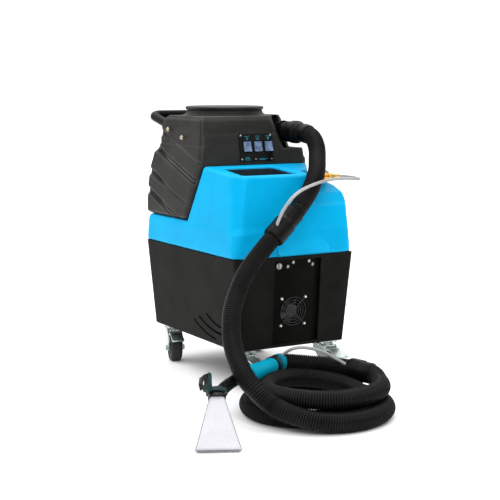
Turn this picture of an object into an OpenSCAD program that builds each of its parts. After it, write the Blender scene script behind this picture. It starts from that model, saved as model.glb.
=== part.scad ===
// Portable carpet extractor on four casters, with its hose, solution line and hand tool.
// Millimetres, +Z up, -Y is the front. The origin is on the floor under the middle of the machine.

/* [Base] */
// Height of the base's underside above the floor
base_z = 104; // [102:1:108]
// Width of the base at its underside
base_w = 324; // [316:2:332]
// Depth of the base at its underside
base_d = 478; // [470:2:486]
// Height of the seam between base and solution tank
seam_z = 342; // [338:1:348]
// Width at the seam
seam_w = 358; // [350:2:364]
// Depth at the seam
seam_d = 512; // [504:2:520]
// Wall thickness of the moulded shells
wall = 5; // [4:0.5:7]

/* [Solution tank] */
// Height of the low rear deck
deck_z = 416; // [410:1:422]
// Height of the tool bin's rear rim
rim_back_z = 565; // [560:1:570]
// Height of the tool bin's front rim
rim_front_z = 549; // [544:1:554]
// Height of the bin's floor
bin_floor_z = 452; // [440:1:470]
// Height of the right shoulder under the coupler
shoulder_z = 518; // [510:1:522]

/* [Recovery tank] */
// Height of the recovery tank's flat top
tank_top_z = 694; // [690:1:698]
// Height of the lid's top
lid_top_z = 720; // [716:1:724]
// Radius of the lid
lid_r = 108; // [104:1:112]

/* [Running gear] */
// Distance of each swivel axis from the centre plane
caster_x = 126; // [120:1:128]
// Distance of each swivel axis from the middle of the body
caster_y = 200; // [190:1:202]
// Wheel radius
wheel_r = 38; // [37:0.5:39]
// Wheel width
wheel_w = 32; // [28:1:32]
// Trail of the wheel behind its swivel axis
trail = 30; // [26:1:32]

/* [Handle] */
// Radius of the handle tube
handle_r = 12; // [11:0.5:13]
// Distance of each handle arm from the centre plane
handle_x = 140; // [136:1:142]

/* [Hoses] */
// Outer radius of the vacuum hose
hose_r = 23; // [22:0.5:24]
// Outer radius of the solution line
line_r = 4; // [3.5:0.5:4.5]
// Radius of the hose coil at the middle of its outer turns
coil_r = 167; // [160:1:170]

/* [Hidden] */

$fn = 48;
blend_fn = 28;      // facets of a circle inside a blended shell
fit = 0.05;         // radial clearance of a running fit
gap = 0.4;          // clearance between neighbouring parts

// The handle stands out behind and the casters in front, so the body sits forward of the origin.
body_y = -11.9;

// Lean of the base's front wall
front_lean = atan((seam_d - base_d) / 2 / (seam_z - base_z));
base_corner = 24;
inlet_up = 190;     // height of the mains inlets at the back

// Front access panel, in the plane of the front wall
panel_left = -60;
panel_right = 60;
groove_right = 80;
panel_bottom = 8;
panel_height = 222;
panel_recess = 2.5;
panel_t = 4;
fan_up = 93;
fan_hole_r = 38;
fan_screw_pitch = 71.5;
fan_size = 80;
fan_depth = 25;

// Bowed vents low on each side, as their two ends [y, z]
vents = [[[-7, 154], [-128, 119]], [[-39, 166], [-166, 136]], [[-81, 181], [-183, 154]]];
vent_sag = 8;
vent_w = 6;

// Casters: where each stands, and how far its fork is swivelled at rest
caster_turns = [8, 3, -16, 12];
caster_sides = [[-1, -1], [1, -1], [-1, 1], [1, 1]];
plate_size = 64;
plate_t = 3;
plate_bolt = 23;
bolt_r = 3;
cup_z = 93;
kingpin_r = 5;
fork_top_z = 90;
fork_half = 18;
fork_t = 3;
axle_r = 4;
pedal_pivot = [-22, 80];
pedal_pin_r = 2.5;

// Solution tank and its tool bin
rim_back_y = -47;
rim_front_y = -226;
notch_y = 24;
tank_side = 160;
bin_outline = [[-126, -206], [42, -206], [30, -88], [-122, -88]];
liner_t = 2;
liner_h = 106;
liner_slope = 6;
cap_at = [134, -157];
cap_r = 27;
shoulder_at = [36, -260];
shoulder_turn = 57.9;

// Recovery tank
neck_at = [-4, 112];
neck_r = 104;
mouth_r = 92;
tank_lean = 8;
front_foot_y = -46;
recess_floor_z = 606;
recess_at = [86, -40];
recess_profile = [[0, 0], [-150, 0], [-150, 100], [35, 100]];
inlet_face_y = 20;
inlet_x = 131;
inlet_z = 649;
inlet_r = 28;
hose_bore_r = 19;
// Cross-sections of the tank's lower and upper bodies: height, front, back, half width
lower_sections = [[416.6, 34, 250, 166], [424, 20, 262, 177], [480, -6, 262, 176], [543, -35, 254, 172],
    [566, -46, 245, 169], [592, -42, 232, 167], [616, -39, 200, 163]];
upper_sections = [[570, -45, 198, 160], [648, -34, 207, 160], [664, -32, 205, 160], [684, -29, 194, 157],
    [693.5, -20, 178, 147]];
handle_tilt = 13;
handle_foot = [48, 634];
handle_screw_steps = [12, 97];
handle_reach = 258;
handle_bend = 32;

// Switch panel, on the leaning front of the recovery tank
switch_x = 8;
switch_up = 45;
switch_w = 102;
switch_h = 73;
rocker_x = 13;
rocker_pitch = 33;
rocker_w = 23;
rocker_h = 28;
rocker_pin_r = 1.5;
rocker_up = 47;

// Solution coupler
coupler_y = -200;
coupler_z = 538;

// Drain valve at the back
drain_z = 452;
drain_y = 259;

// Coil of hose on the floor in front
coil_at = [-105, -512];
coil_in = coil_r - 47 - hose_r;
coil_out = coil_r + hose_r;
coil_step = 44;

// Hose and line routes, round numbers in the body's frame
elbow_route = [[131, -14, 649], [133, -44, 649], [138, -74, 648], [140, -100, 643], [138, -124, 633],
    [131, -148, 617], [120, -170, 600]];
upper_route = [[123, -164, 605], [105, -193, 584], [83, -226, 563], [61, -251, 542], [39, -270, 521],
    [18, -284, 503], [-1, -293, 487], [-18, -299, 472], [-35, -304, 457]];
mid_cuff_ends = [[-33, -304, 460], [-104, -312, 400]];
lower_route = [[-100, -311, 403], [-127, -315, 380], [-155, -320, 355], [-190, -330, 322],
    [-222, -345, 280], [-250, -367, 236], [-268, -396, 193], [-282, -434, 160], [-293, -478, 135],
    [-298, -508, 118], [-296, -532, 103], [-288, -550, 88], [-273, -564, 68], [-257, -578, 52]];
tail_route = [[47, -449, 80], [30, -418, 80], [8, -388, 81], [-20, -364, 82], [-42, -348, 84],
    [-66, -336, 86], [-92, -329, 88]];
tool_cuff_ends = [[68, -502, 76], [43, -446, 80]];
line_boss_ends = [[51, -473, 79], [31, -447, 91]];
upper_line_route = [[166, -200, 538], [182, -201, 537], [198, -209, 535], [206, -226, 533], [202, -246, 532],
    [186, -260, 533], [150, -268, 536], [108, -273, 537], [62, -288, 534], [18, -307, 528],
    [-26, -324, 518], [-62, -335, 500], [-86, -338, 475], [-96, -331, 450], [-98, -323, 432]];
lower_line_route = [[31, -447, 91], [18, -438, 100], [4, -433, 109], [-11, -427, 119], [-25, -420, 126],
    [-38, -411, 131], [-50, -402, 134], [-61, -392, 135], [-71, -382, 134], [-79, -371, 130], [-84, -358, 123],
    [-88, -346, 114], [-92, -337, 104]];
line_sides = 8;
hose_sides = 12;

// Hand tool
grip_ends = [[-87, -327, 88], [-238, -423, 92]];
grip_r = 23;
head_at = [-418, -599, 100];
head_turn = [-39, 0, -26];
nozzle_len = 123;
nozzle_w = 97;
throat_w = 34;
tool_route = [[-234, -420, 92], [-248, -430, 93], [-265, -440, 94], [-288, -455, 95], [-320, -484, 97],
    [-361, -531, 102], [-392, -571, 105], [-408, -588, 104], [-420, -601, 98]];
tube_r = 14.5;
valve_turn = -50;
trigger_pivot = [-25, 46];
jet_at = [14, 22];
trigger_outline = [[-27, 50], [-22, 47], [-23, 42], [-40, 33], [-44, 20], [-41, 8], [-45, 6],
    [-49, 20], [-46, 36], [-36, 46]];

// ---- helpers ----

function unit(v) = v / norm(v);
function tangent(p, i) = unit(p[min(i + 1, len(p) - 1)] - p[max(i - 1, 0)]);
// A direction across the tube at each point, carried along without twisting
function across(p, i) = i == 0
    ? unit(cross([0.1, 0.2, 1], tangent(p, 0)))
    : let (u = across(p, i - 1), t = tangent(p, i)) unit(u - (u * t) * t);

function ring(p, i, r, n) =
    let (t = tangent(p, i), u = across(p, i), v = cross(t, u))
    [for (k = [0:n - 1]) p[i] + r * (cos(360 * k / n) * u + sin(360 * k / n) * v)];

// A tube swept along a list of points
module tube(p, r, n) {
    last = (len(p) - 1) * n;
    polyhedron(
        points = [for (i = [0:len(p) - 1]) each ring(p, i, r, n)],
        faces = concat(
            [[for (k = [0:n - 1]) k]],
            [[for (k = [n - 1:-1:0]) last + k]],
            [for (i = [0:len(p) - 2], k = [0:n - 1])
                [i * n + k, (i + 1) * n + k, (i + 1) * n + (k + 1) % n, i * n + (k + 1) % n]]
        )
    );
}

// Everything is placed in the body's frame first
module seat() translate([0, body_y, 0]) children();

// Carries children from the Z axis onto the line between two points
module along(ends) {
    d = ends[1] - ends[0];
    translate(ends[0])
        rotate([0, acos(d.z / norm(d)), atan2(d.y, d.x)])
            children();
}

module rounded_rect(w, d, r) offset(r, $fn = blend_fn) square([w - 2 * r, d - 2 * r], center = true);

module front_wall() translate([0, -base_d / 2, base_z]) rotate([front_lean, 0, 0]) children();

module tank_front() translate([0, front_foot_y, rim_back_z + 1]) rotate([-tank_lean, 0, 0]) children();

module at_casters() for (s = caster_sides) translate([s.x * caster_x, s.y * caster_y, 0]) children();

module at_caster(i)
    translate([caster_sides[i].x * caster_x, caster_sides[i].y * caster_y, 0])
        rotate([0, 0, caster_turns[i]])
            children();

module handle_frame() translate([0, handle_foot.x, handle_foot.y]) rotate([handle_tilt, 0, 0]) children();

module tool_head() translate(head_at) rotate(head_turn) children();

// ---- base ----

function taper(z, low, high) = low + (high - low) * (z - base_z) / (seam_z - base_z);

module base_block(inset, z0, z1) hull() for (z = [z0, z1 - 1])
    translate([0, 0, z])
        linear_extrude(1)
            rounded_rect(taper(z, base_w, seam_w) - 2 * inset, taper(z, base_d, seam_d) - 2 * inset,
                base_corner - inset);

module bowed_slot(ends, sag, w) {
    span = norm(ends[1] - ends[0]);
    r = (span * span / 4 + sag * sag) / (2 * sag);
    half = asin(span / 2 / r);
    mid = (ends[0] + ends[1]) / 2;
    tilt = atan2(ends[0].y - ends[1].y, ends[0].x - ends[1].x);
    translate([0, mid.x, mid.y])
        rotate([tilt, 0, 0])
            translate([-seam_w / 2 - 10, 0, r - sag])
                rotate([0, 90, 0])
                    rotate([0, 0, -half])
                        rotate_extrude(angle = 2 * half, $fn = 160)
                            translate([r - w / 2, 0])
                                square([w, 30]);
}

module base_shell() color([0.09, 0.09, 0.09]) seat() difference() {
    base_block(0, base_z, seam_z - gap / 2);
    base_block(wall, base_z + wall, seam_z + 2);
    front_wall() translate([panel_left, -20, panel_bottom]) cube([groove_right - panel_left, 34, panel_height]);
    for (v = vents, side = [0, 1]) mirror([side, 0, 0]) bowed_slot(v, vent_sag, vent_w);
    at_casters() for (x = [-1, 1], y = [-1, 1])
        translate([x * plate_bolt, y * plate_bolt, base_z - 1]) cylinder(h = wall + 2, r = bolt_r + 0.2);
    for (x = [-60, 60])
        translate([x, base_d / 2 - 10, inlet_up]) rotate([-90, 0, 0]) cylinder(h = 40, r = 18);
}

module front_panel() color([0.07, 0.07, 0.07]) seat() front_wall() difference() {
    union() {
        translate([panel_left + gap, panel_recess, panel_bottom + gap])
            cube([panel_right - panel_left - gap, panel_t, panel_height - 2 * gap]);
        translate([panel_right - 4, panel_recess, panel_bottom + gap])
            cube([4, 12, panel_height - 2 * gap]);
        translate([panel_right - 4, 11.5, panel_bottom + gap])
            cube([groove_right - panel_right + 14, 3, panel_height - 2 * gap]);
        translate([panel_left - 10, wall + 1, panel_bottom + gap])
            cube([14, 2.5, panel_height - 2 * gap]);
    }
    translate([0, -5, fan_up]) rotate([-90, 0, 0]) cylinder(h = 20, r = fan_hole_r);
    for (x = [-1, 1], z = [-1, 1])
        translate([x * fan_screw_pitch / 2, -5, fan_up + z * fan_screw_pitch / 2])
            rotate([-90, 0, 0]) cylinder(h = 20, r = 2.2);
}

panel_screws = [[-22, 213], [-6, 223], [42, 223], [53, 214]];
module panel_fasteners() color([0.72, 0.70, 0.64]) seat() front_wall() {
    translate([-50, panel_recess, 216]) rotate([90, 0, 0]) {
        cylinder(h = 6, r = 8);
        translate([-1.2, -7, 5]) cube([2.4, 14, 4]);
    }
    for (p = panel_screws) translate([p.x, panel_recess, p.y]) rotate([90, 0, 0]) difference() {
        cylinder(h = 3, r = 4);
        translate([-3, -0.5, 2]) cube([6, 1, 2]);
    }
}

module fan_frame() color([0.05, 0.05, 0.05]) seat() front_wall()
    translate([0, panel_recess + panel_t + 0.2, fan_up]) {
        difference() {
            translate([-fan_size / 2, 0, -fan_size / 2]) cube([fan_size, fan_depth, fan_size]);
            translate([0, -1, 0]) rotate([-90, 0, 0]) cylinder(h = fan_depth + 2, r = fan_hole_r - 0.5);
            for (x = [-1, 1], z = [-1, 1])
                translate([x * fan_screw_pitch / 2, -1, z * fan_screw_pitch / 2])
                    rotate([-90, 0, 0]) cylinder(h = 14, r = 2.2);
        }
        difference() {
            union() {
                translate([0, fan_depth - 5, 0]) rotate([-90, 0, 0]) cylinder(h = 5, r = 15);
                for (a = [45, 135]) rotate([0, a, 0])
                    translate([-fan_hole_r, fan_depth - 4, -2]) cube([2 * fan_hole_r, 3, 4]);
            }
            translate([0, fan_depth - 8, 0]) rotate([-90, 0, 0]) cylinder(h = 12, r = 3 + fit);
        }
    }

module fan_rotor() color([0.12, 0.12, 0.13]) seat() front_wall()
    translate([0, panel_recess + panel_t + 0.2, fan_up]) {
        translate([0, 3, 0]) rotate([-90, 0, 0]) cylinder(h = 15, r = 16);
        translate([0, 17, 0]) rotate([-90, 0, 0]) cylinder(h = 8, r = 3);
        for (k = [0:6]) rotate([0, k * 360 / 7, 0])
            translate([13, 10.5, 0]) rotate([38, 0, 0]) translate([0, -1, -9]) cube([22, 2, 18]);
    }

guard_rings = [9, 16, 23, 30, 37];
module fan_guard() color([0.10, 0.10, 0.11]) seat() front_wall() translate([0, panel_recess, fan_up]) {
    for (r = guard_rings) translate([0, -2.4, 0]) rotate([90, 0, 0])
        rotate_extrude() translate([r, 0]) circle(0.9, $fn = 16);
    for (a = [0, 90]) rotate([0, a + 45, 0])
        translate([-46, -1.6, 0]) rotate([0, 90, 0]) cylinder(h = 92, r = 0.9, $fn = 16);
    for (x = [-1, 1], z = [-1, 1]) translate([x * fan_screw_pitch / 2, -1.2, z * fan_screw_pitch / 2])
        rotate([-90, 0, 0]) difference() {
            cylinder(h = 1.1, r = 5);
            translate([0, 0, -1]) cylinder(h = 4, r = 2.2);
        }
}

module fan_screws() color([0.66, 0.66, 0.64]) seat() front_wall() translate([0, panel_recess, fan_up])
    for (x = [-1, 1], z = [-1, 1]) translate([x * fan_screw_pitch / 2, 0, z * fan_screw_pitch / 2])
        rotate([-90, 0, 0]) {
            translate([0, 0, -4.2]) cylinder(h = 2.9, r1 = 2.6, r2 = 4);
            translate([0, 0, -1.4]) cylinder(h = 16, r = 1.9);
        }

module power_inlets() color([0.06, 0.06, 0.06]) seat() for (x = [-60, 60])
    translate([x, base_d / 2 + (inlet_up - base_z) * tan(front_lean), inlet_up])
        rotate([-90 - front_lean, 0, 0]) {
        difference() {
            translate([0, 0, 0.6]) cylinder(h = 4, r = 24);
            translate([0, 0, 1.6]) cylinder(h = 6, r = 14);
        }
        translate([0, 0, -26]) cylinder(h = 27, r = 16);
        for (a = [0:120:240]) rotate([0, 0, a]) translate([6, -0.8, 1]) cube([1.6, 1.6, 3]);
    }

module vacuum_motor() color([0.55, 0.55, 0.57]) seat() translate([-74, 70, base_z + wall + 1]) {
    cylinder(h = 70, r = 72);
    translate([0, 0, 70]) cylinder(h = 22, r = 64);
    translate([0, 0, 92]) cylinder(h = 78, r = 45);
    translate([0, 0, 170]) cylinder(h = 12, r = 20);
}

module solution_pump() color([0.20, 0.22, 0.24]) seat() translate([84, 80, base_z + wall + 1]) {
    translate([-40, -70, 0]) cube([80, 150, 6]);
    translate([0, -62, 46]) rotate([-90, 0, 0]) cylinder(h = 90, r = 38);
    translate([-36, 28, 8]) cube([72, 46, 74]);
    for (x = [-20, 20]) translate([x, 74, 46]) rotate([-90, 0, 0]) cylinder(h = 14, r = 8);
}

// ---- casters ----

module caster_plates() color([0.75, 0.78, 0.77]) seat() at_casters() {
    difference() {
        union() {
            translate([-plate_size / 2, -plate_size / 2, base_z - plate_t])
                cube([plate_size, plate_size, plate_t - 0.1]);
            translate([0, 0, cup_z]) cylinder(h = base_z - plate_t - cup_z + 1, r1 = 25, r2 = 22);
        }
        translate([0, 0, cup_z - 1]) cylinder(h = 20, r = kingpin_r + fit);
        for (x = [-1, 1], y = [-1, 1])
            translate([x * plate_bolt, y * plate_bolt, 90]) cylinder(h = 20, r = bolt_r + 0.2);
    }
}

module caster_bolts() color([0.70, 0.71, 0.72]) seat() at_casters() for (x = [-1, 1], y = [-1, 1])
    translate([x * plate_bolt, y * plate_bolt, 0]) {
        translate([0, 0, base_z - plate_t - 4.2]) cylinder(h = 4, r = 5.5, $fn = 6);
        translate([0, 0, base_z - plate_t - 1]) cylinder(h = 14, r = bolt_r);
    }

fork_outline = [[21, 90], [-28, 90], [-46, 62], [-41, 32], [-30, 27], [-19, 32], [-14, 46], [14, 72],
    [22, 80]];
module fork(i) color([0.74, 0.77, 0.76]) seat() at_caster(i) {
    difference() {
        union() {
            for (x = [-fork_half - fork_t, fork_half])
                translate([x, 0, 0]) rotate([90, 0, 90]) linear_extrude(fork_t) polygon(fork_outline);
            translate([-fork_half - fork_t, -28, fork_top_z - 4])
                cube([2 * (fork_half + fork_t), 49, 4]);
            translate([0, 0, fork_top_z - 2]) cylinder(h = 4.5, r = 23);
        }
        translate([-40, pedal_pivot.x, pedal_pivot.y]) rotate([0, 90, 0])
            cylinder(h = 80, r = pedal_pin_r + fit);
    }
    translate([0, 0, fork_top_z]) cylinder(h = 11, r = kingpin_r);
    translate([0, -trail, wheel_r]) rotate([0, 90, 0]) {
        translate([0, 0, -fork_half - fork_t - 1]) cylinder(h = 2 * (fork_half + fork_t + 1), r = axle_r);
        for (z = [-fork_half - fork_t - 6, fork_half + fork_t])
            translate([0, 0, z]) cylinder(h = 6, r = 7.5, $fn = 6);
    }
}

tyre_round = 6;
wheel_half = wheel_w / 2;
module wheel(i) color([0.10, 0.10, 0.10]) seat() at_caster(i) translate([0, -trail, wheel_r])
    rotate([0, 90, 0]) rotate_extrude($fn = 72) difference() {
        union() {
            translate([axle_r + fit, -wheel_half]) square([wheel_r - tyre_round - axle_r, wheel_w]);
            translate([axle_r + fit, -wheel_half + tyre_round])
                square([wheel_r - axle_r - fit, wheel_w - 2 * tyre_round]);
            for (y = [-1, 1]) translate([wheel_r - tyre_round, y * (wheel_half - tyre_round)])
                circle(tyre_round);
        }
        for (y = [-wheel_half - 1, wheel_half - 4]) translate([11, y]) square([14, 5]);
    }

pedal_outline = [[-14, 83], [-26, 84.5], [-48, 83], [-84, 69], [-86, 65], [-80, 64.5], [-48, 79], [-26, 78],
    [-14, 77]];
module brake(i) color([0.66, 0.69, 0.68]) seat() at_caster(i) {
    translate([-fork_half + 1, 0, 0]) rotate([90, 0, 90]) linear_extrude(2 * fork_half - 2)
        polygon(pedal_outline);
    translate([-fork_half - fork_t, pedal_pivot.x, pedal_pivot.y]) rotate([0, 90, 0])
        cylinder(h = 2 * (fork_half + fork_t), r = pedal_pin_r);
}

// ---- solution tank ----

// The tank's lower block, eased in towards its top
module deck_block(inset) {
    r = base_corner - inset;
    x = seam_w / 2 - base_corner;
    y = seam_d / 2 - base_corner;
    hull() {
        for (sx = [-1, 1], sy = [-1, 1]) translate([sx * x, sy * y, seam_z + gap / 2 + inset])
            cylinder(h = 1, r = r, $fn = blend_fn);
        for (sx = [-1, 1], sy = [-1, 1]) translate([sx * (x - 3), sy * (y - 4), deck_z - inset - 12])
            cylinder(h = 1, r = r, $fn = blend_fn);
        for (sx = [-1, 1], sy = [-1, 1]) translate([sx * (x - 7), sy * (y - 8), deck_z - inset - 1])
            cylinder(h = 1, r = r, $fn = blend_fn);
    }
}

rim_r = 9;
module bin_block(inset) {
    r = rim_r - inset;
    a = rim_r;
    hull() {
        for (x = [-1, 1]) {
            translate([x * (seam_w / 2 - a - 4), notch_y - a, deck_z - 14]) sphere(r, $fn = blend_fn);
            translate([x * (tank_side - a), rim_back_y - a, rim_back_z - a]) sphere(r, $fn = blend_fn);
            translate([x * (seam_w / 2 - 26), -seam_d / 2 + 26, seam_z + 20])
                cylinder(h = 1, r = 26 - inset, $fn = blend_fn);
        }
        translate([-tank_side + a + 1, -196, rim_front_z + 2 - a]) sphere(r, $fn = blend_fn);
        translate([-128, rim_front_y + a, rim_front_z - a]) sphere(r, $fn = blend_fn);
        translate([50, rim_front_y + a, rim_front_z - a]) sphere(r, $fn = blend_fn);
    }
}

// The right shoulder fills the corner beside the tool bin, up to the fill cap
shoulder_from = 60;
shoulder_side_x = 170;
shoulder_front_y = -231;
shoulder_back_y = -100;
module shoulder_block(inset) hull() {
    for (x = [shoulder_from, seam_w / 2 - 26], y = [-seam_d / 2 + 26, shoulder_back_y])
        translate([x, y, seam_z + 20]) cylinder(h = 1, r = 26 - inset, $fn = blend_fn);
    for (x = [shoulder_from, shoulder_side_x - rim_r], y = [shoulder_front_y + rim_r, shoulder_back_y])
        translate([x, y, shoulder_z + 1 - rim_r]) sphere(rim_r - inset, $fn = blend_fn);
}

// The right corner is cut away on a slant behind the hanging hose, down to a shoulder
shoulder_profile = [[0, 0], [-200, 0], [-200, 80], [6.5, 80]];
module shoulder_cut(inset) translate([shoulder_at.x, shoulder_at.y, shoulder_z - inset])
    rotate([0, 0, shoulder_turn]) translate([-80, inset, 0]) rotate([90, 0, 90])
        linear_extrude(400) polygon(shoulder_profile);

// The shoulder's front slopes away, and its right edge is eased
shoulder_front = [[-163, 0], [-216, -21], [-234, -50], [-300, -50], [-300, 40], [-163, 40]];
shoulder_side = [[160, 0], [176, -12], [240, -12], [240, 40], [160, 40]];
module shoulder_slopes(inset) translate([0, 0, shoulder_z + 1 - inset]) {
    translate([70, 0, 0]) rotate([90, 0, 90]) linear_extrude(140) polygon(shoulder_front);
    translate([0, -84, 0]) rotate([90, 0, 0]) linear_extrude(200) polygon(shoulder_side);
}

module front_bulge() hull() {
    translate([-28, -246, 398]) cube([104, 4, 2]);
    translate([-58, -268, 352]) cube([156, 20, 8]);
    translate([-52, -264, 345]) cube([142, 20, 4]);
}

module bin_pocket(grow) translate([0, 0, bin_floor_z - grow]) linear_extrude(200)
    offset(10 + grow, $fn = blend_fn) offset(-10) polygon(bin_outline);

module solution_tank() color([0.02, 0.62, 0.90]) seat() difference() {
    union() {
        difference() {
            union() {
                deck_block(0);
                bin_block(0);
                shoulder_block(0);
            }
            shoulder_cut(0);
            shoulder_slopes(0);
        }
        front_bulge();
        translate([cap_at.x, cap_at.y, shoulder_z - 4]) cylinder(h = 20, r = 21);
    }
    difference() {
        union() {
            deck_block(wall + 1);
            bin_block(wall);
            shoulder_block(wall + 1);
        }
        bin_pocket(wall);
        shoulder_cut(wall);
        shoulder_slopes(wall + 2);
        translate([30, coupler_y, coupler_z]) rotate([0, 90, 0]) cylinder(h = 60, r = 14);
    }
    bin_pocket(0);
    translate([40, coupler_y, coupler_z]) rotate([0, 90, 0]) cylinder(h = 60, r = 8 + fit);
    translate([cap_at.x, cap_at.y, shoulder_z - 30]) cylinder(h = 60, r = 17);
}

module bin_liner() color([0.16, 0.19, 0.22]) seat() difference() {
    translate([0, 0, bin_floor_z + 0.2]) linear_extrude(liner_h)
        offset(10 - gap, $fn = blend_fn) offset(-10) polygon(bin_outline);
    translate([-200, rim_front_y, rim_front_z - 7]) rotate([liner_slope, 0, 0]) cube([400, 200, 60]);
    translate([0, 0, bin_floor_z + liner_t + 0.2]) linear_extrude(200)
        offset(10 - gap - liner_t, $fn = blend_fn) offset(-10) polygon(bin_outline);
}

module fill_cap() color([0.0, 0.50, 0.66]) seat() translate([cap_at.x, cap_at.y, shoulder_z + 16.3])
difference() {
    union() {
        cylinder(h = 14, r = cap_r);
        translate([0, 0, 14]) cylinder(h = 4, r1 = cap_r - 1, r2 = cap_r - 8);
        translate([0, 0, -14]) cylinder(h = 16, r = 16.7);
    }
    for (a = [0:30:330]) rotate([0, 0, a]) translate([cap_r + 1, 0, -1]) cylinder(h = 13, r = 2.4);
}

// ---- recovery tank ----

// A shell body blended through its cross-sections, drawn in by an inset for its hollow
module tank_body(sections, inset) {
    last = len(sections) - 1;
    hull() for (k = [0:last]) {
        s = sections[k];
        lift = k == 0 ? inset : k == last ? -inset : 0;
        translate([0, (s[1] + s[2]) / 2, s[0] + lift])
            linear_extrude(0.5)
                rounded_rect(2 * (s[3] - inset), s[2] - s[1] - 2 * inset, 18 - inset);
    }
}

// The front right corner is cut back on a slant for the hose inlet
module inlet_recess(inset) translate([recess_at.x, recess_at.y, recess_floor_z - inset])
    rotate([0, 0, 45]) translate([-100, inset, 0]) rotate([90, 0, 90])
        linear_extrude(320) polygon(recess_profile);

module inlet_boss(r) translate([inlet_x, inlet_face_y, inlet_z]) rotate([-90, 0, 0]) cylinder(h = 70, r = r);

module inlet_socket(grow) translate([inlet_x, inlet_face_y + grow, inlet_z]) rotate([90, 0, 0])
    cylinder(h = 90, r = inlet_r + 3 + grow);

module tank_neck() translate([neck_at.x, neck_at.y, 0]) rotate_extrude($fn = 96) polygon([
    [mouth_r - 10, tank_top_z - 20], [neck_r + 24, tank_top_z - 20], [neck_r + 24, tank_top_z - 4],
    [neck_r + 6, tank_top_z + 3], [neck_r, tank_top_z + 8], [neck_r, 713], [mouth_r - 10, 713]]);

module handle_sockets(r) handle_frame() for (x = [-1, 1])
    translate([x * handle_x, -10.3 - (r > handle_r + 1 ? 5 : 0), 0])
        rotate([-90, 0, 0]) cylinder(h = 220, r = r);

// Slanting grooves down each side of the tank: [y, z] of each end, width, distance out from the centre
side_grooves = [
    [[215, 600], [-60, 512], 5, 169.5], [[215, 588], [-60, 500], 4, 170],
    [[250, 537], [-20, 452], 5, 172.5],
    [[270, 488], [40, 406], 5, 173.5], [[270, 476], [60, 401], 4, 173.5]
];
module side_groove(g) {
    span = norm(g[0] - g[1]);
    tilt = atan2(g[0].y - g[1].y, g[0].x - g[1].x);
    translate([-190, g[1].x, g[1].y]) rotate([tilt, 0, 0])
        cube([190 - g[3], span, g[2]]);
}

module switch_box(grow) tank_front()
    translate([switch_x - 46 - grow, -6, rocker_up - 20 - grow])
        cube([98 + 2 * grow, 32 + grow, 40 + 2 * grow]);

module recovery_tank() color([0.11, 0.11, 0.11]) seat() difference() {
    union() {
        difference() {
            union() {
                tank_body(lower_sections, 0);
                tank_body(upper_sections, 0);
                tank_neck();
            }
            inlet_recess(0);
        }
        intersection() {
            inlet_boss(29);
            translate([0, 0, 500]) cube([158, 100, 200]);
        }
    }
    difference() {
        union() {
            tank_body(lower_sections, wall);
            tank_body(upper_sections, wall);
        }
        inlet_recess(wall);
        inlet_boss(29);
        inlet_socket(wall);
        switch_box(wall);
        handle_sockets(handle_r + 5);
    }
    for (g = side_grooves, side = [0, 1]) mirror([side, 0, 0]) side_groove(g);
    translate([-200, 245, 524]) cube([400, 30, 12]);
    translate([neck_at.x, neck_at.y, 640]) cylinder(h = 100, r = mouth_r, $fn = 96);
    switch_box(0);
    inlet_socket(0);
    handle_sockets(handle_r + 0.15);
    handle_frame() for (y = handle_screw_steps, x = [-1, 1]) translate([x * 146, y, 0]) rotate([0, x * 90, 0])
        cylinder(h = 40, r = 3.2);
    translate([inlet_x, 0, inlet_z]) rotate([-90, 0, 0]) cylinder(h = 120, r = hose_bore_r + 3.1);
    translate([0, drain_y - 30, drain_z]) rotate([-90, 0, 0]) cylinder(h = 60, r = 19.1);
}

module standpipe() color([0.80, 0.80, 0.78]) seat() translate([70, 120, 0]) difference() {
    union() {
        translate([0, 0, 422]) cylinder(h = 7, r = 38);
        translate([0, 0, 422]) cylinder(h = 226, r = 26);
        translate([0, 0, 646]) cylinder(h = 26, r = 34);
    }
    translate([0, 0, 420]) cylinder(h = 246, r = 22);
    for (a = [0:60:120]) translate([0, 0, 656]) rotate([0, 0, a]) cube([80, 9, 12], center = true);
}

module lid_gasket() color([0.05, 0.05, 0.05]) seat() translate([neck_at.x, neck_at.y, 713.1])
    rotate_extrude($fn = 96) translate([mouth_r + 2, 0]) square([9, 2]);

module lid() color([0.07, 0.07, 0.08]) seat() translate([neck_at.x, neck_at.y, 0]) rotate_extrude($fn = 96)
    polygon([
        [0, 716], [85, 716], [85, 708], [89, 708], [89, 715.2], [neck_r + 0.8, 715.2], [neck_r + 0.8, 710],
        [lid_r - 1, 710], [lid_r, 711], [lid_r, 716], [lid_r - 3, 718.5], [lid_r - 12, 719.3],
        [40, lid_top_z], [0, lid_top_z]
    ]);

module handle() color([0.04, 0.04, 0.04]) seat() handle_frame() {
    bend_y = handle_reach - handle_bend;
    for (x = [-1, 1]) {
        translate([x * handle_x, -10, 0]) rotate([-90, 0, 0]) cylinder(h = bend_y + 10, r = handle_r);
        translate([x * (handle_x - handle_bend), bend_y, 0]) mirror([x < 0 ? 1 : 0, 0, 0])
            rotate_extrude(angle = 90) translate([handle_bend, 0]) circle(handle_r);
    }
    translate([-handle_x + handle_bend, handle_reach, 0]) rotate([0, 90, 0])
        cylinder(h = 2 * (handle_x - handle_bend), r = handle_r);
}

module handle_screws() color([0.70, 0.60, 0.40]) seat() handle_frame()
    for (y = handle_screw_steps, x = [-1, 1])
    translate([x * (handle_x + handle_r), y, 0]) rotate([0, x * 90, 0]) {
        translate([0, 0, 0.2]) cylinder(h = 13, r = 3);
        translate([0, 0, 13]) cylinder(h = 3.4, r1 = 6.5, r2 = 4);
    }

// ---- switch panel ----

module at_rocker(k) tank_front() translate([rocker_x + k * rocker_pitch, 0, rocker_up]) children();

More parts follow.
